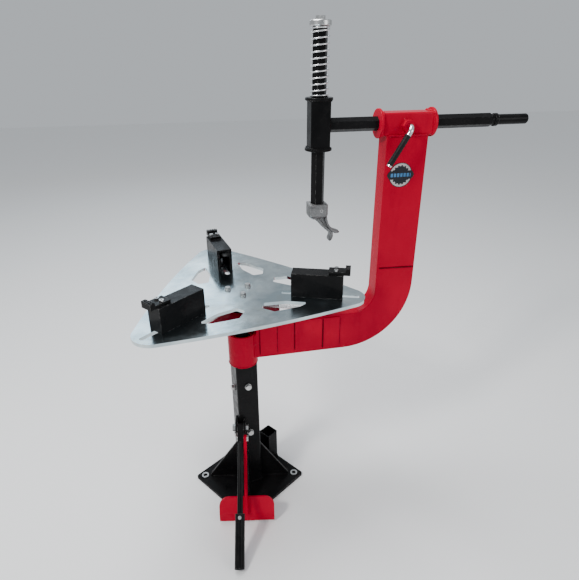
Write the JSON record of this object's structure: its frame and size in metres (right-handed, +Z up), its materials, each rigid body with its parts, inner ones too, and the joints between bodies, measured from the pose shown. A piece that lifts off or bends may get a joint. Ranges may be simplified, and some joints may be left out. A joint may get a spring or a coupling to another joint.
{
  "type": "tire changer machine",
  "caption": "Floor-bolted manual tyre changer: turning three-sided clamp table, bent arm with a sliding tool bar and mounting head, and a bead-breaking lever.",
  "frame": {"origin": "on the table's turning axis, at the underside of the base plate", "axes": "+Z up; +X along the arm, from the post towards the column; +Y away from the lever"},
  "size_m": [0.9692, 0.6176, 1.2376],
  "materials": {
    "red_paint": "gloss red paint",
    "black_paint": "gloss black paint",
    "zinc_plate": "bright zinc plate",
    "zinc_hardware": "zinc-plated fasteners",
    "spring_steel": "bright spring wire",
    "bearing_steel": "ground steel",
    "dark_steel": "satin black",
    "cast_steel": "cast, lightly blasted",
    "chrome": "bright chrome",
    "rubber_grip": "moulded grip",
    "badge_dark": "plain printed disc"
  },
  "bodies": {
    "frame": {"base_plate": "black_paint", "anchor_washers": "zinc_hardware", "base_gussets": "black_paint", "base_post": "black_paint", "tool_socket": "black_paint", "post_clamp_bolts": "zinc_hardware", "arm_side_near": "red_paint", "arm_side_far": "red_paint", "arm_outer_strip": "red_paint", "arm_inner_strip": "red_paint", "arm_doublers": "red_paint", "arm_spigot": "red_paint", "arm_socket": "red_paint", "spindle_bearings": "bearing_steel", "head_sleeve": "red_paint", "head_guide_discs": "red_paint", "crank_nut": "red_paint", "column_badge": "badge_dark", "lever_bracket": "black_paint", "lever_pivot_bolt": "zinc_hardware"},
    "turntable": {"table_plate": "zinc_plate", "table_hub": "dark_steel", "table_flange": "red_paint", "table_bolts": "zinc_hardware", "spindle_shaft": "bearing_steel", "clamp_spring_1": "spring_steel", "clamp_spring_2": "spring_steel", "clamp_spring_3": "spring_steel"},
    "slide_bar": {"cross_bar": "black_paint", "bar_handle": "black_paint", "handle_collar": "black_paint", "tool_sleeve": "black_paint", "tool_guide_discs": "black_paint", "lift_spring": "spring_steel"},
    "tool_shaft": {"tool_bar": "black_paint", "spring_cap": "zinc_hardware", "cap_bolt": "zinc_hardware", "duckhead": "cast_steel", "duckhead_screw": "zinc_hardware"},
    "lock_crank": {"crank_rod": "chrome", "crank_grip": "rubber_grip"},
    "breaker_lever": {"lever_bar": "black_paint", "link_pin": "zinc_hardware"},
    "lever_handle": {"handle_tube": "black_paint", "handle_screw": "zinc_hardware", "handle_end_ring": "rubber_grip"},
    "breaker_arm": {"breaker_link": "red_paint", "breaker_shoe": "red_paint"},
    "clamp_1": {"clamp_body_1": "black_paint", "clamp_jaw_1": "black_paint", "clamp_guide_1": "zinc_hardware", "clamp_screws_1": "zinc_hardware"},
    "clamp_2": {"clamp_body_2": "black_paint", "clamp_jaw_2": "black_paint", "clamp_guide_2": "zinc_hardware", "clamp_screws_2": "zinc_hardware"},
    "clamp_3": {"clamp_body_3": "black_paint", "clamp_jaw_3": "black_paint", "clamp_guide_3": "zinc_hardware", "clamp_screws_3": "zinc_hardware"}
  },
  "joints": [
    {"name": "table_turn", "type": "hinge", "parent": "frame", "child": "turntable", "pos_m": [0, 0, 0.5], "axis": [0, 0, 1], "continuous": true},
    {"name": "bar_slide", "type": "slide", "parent": "frame", "child": "slide_bar", "axis": [-1, 0, 0], "range_m": [-0.095, 0.145]},
    {"name": "tool_slide", "type": "slide", "parent": "slide_bar", "child": "tool_shaft", "axis": [0, 0, 1], "range_m": [-0.085, 0], "stiffness_N_per_m": 4900, "springref_m": 0.01, "deforming": ["lift_spring"]},
    {"name": "crank_turn", "type": "hinge", "parent": "frame", "child": "lock_crank", "pos_m": [0.398, -0.038, 1.019], "axis": [0, -1, 0], "range_deg": [0, 270]},
    {"name": "lever_hinge", "type": "hinge", "parent": "frame", "child": "breaker_lever", "pos_m": [-0.02218, -0.05092, 0.24], "axis": [-0.9848, 0.1736, 0], "range_deg": [0, 85]},
    {"name": "handle_slide", "type": "slide", "parent": "breaker_lever", "child": "lever_handle", "axis": [-0.1284, -0.728, -0.6735], "range_m": [-0.1, 0]},
    {"name": "shoe_swing", "type": "hinge", "parent": "breaker_lever", "child": "breaker_arm", "pos_m": [-0.02603, -0.07276, 0.2198], "axis": [-0.9848, 0.1736, 0], "range_deg": [-85, 0]},
    {"name": "clamp_1_slide", "type": "slide", "parent": "turntable", "child": "clamp_1", "axis": [0.9397, -0.342, 0], "range_m": [-0.06, 0], "deforming": ["clamp_spring_1"]},
    {"name": "clamp_2_slide", "type": "slide", "parent": "turntable", "child": "clamp_2", "axis": [-0.766, -0.6428, 0], "range_m": [-0.06, 0], "deforming": ["clamp_spring_2"]},
    {"name": "clamp_3_slide", "type": "slide", "parent": "turntable", "child": "clamp_3", "axis": [-0.1736, 0.9848, 0], "range_m": [-0.06, 0], "deforming": ["clamp_spring_3"]}
  ],
  "couplings": [
    {"joint": "shoe_swing", "follows": "lever_hinge", "ratio": -1}
  ]
}
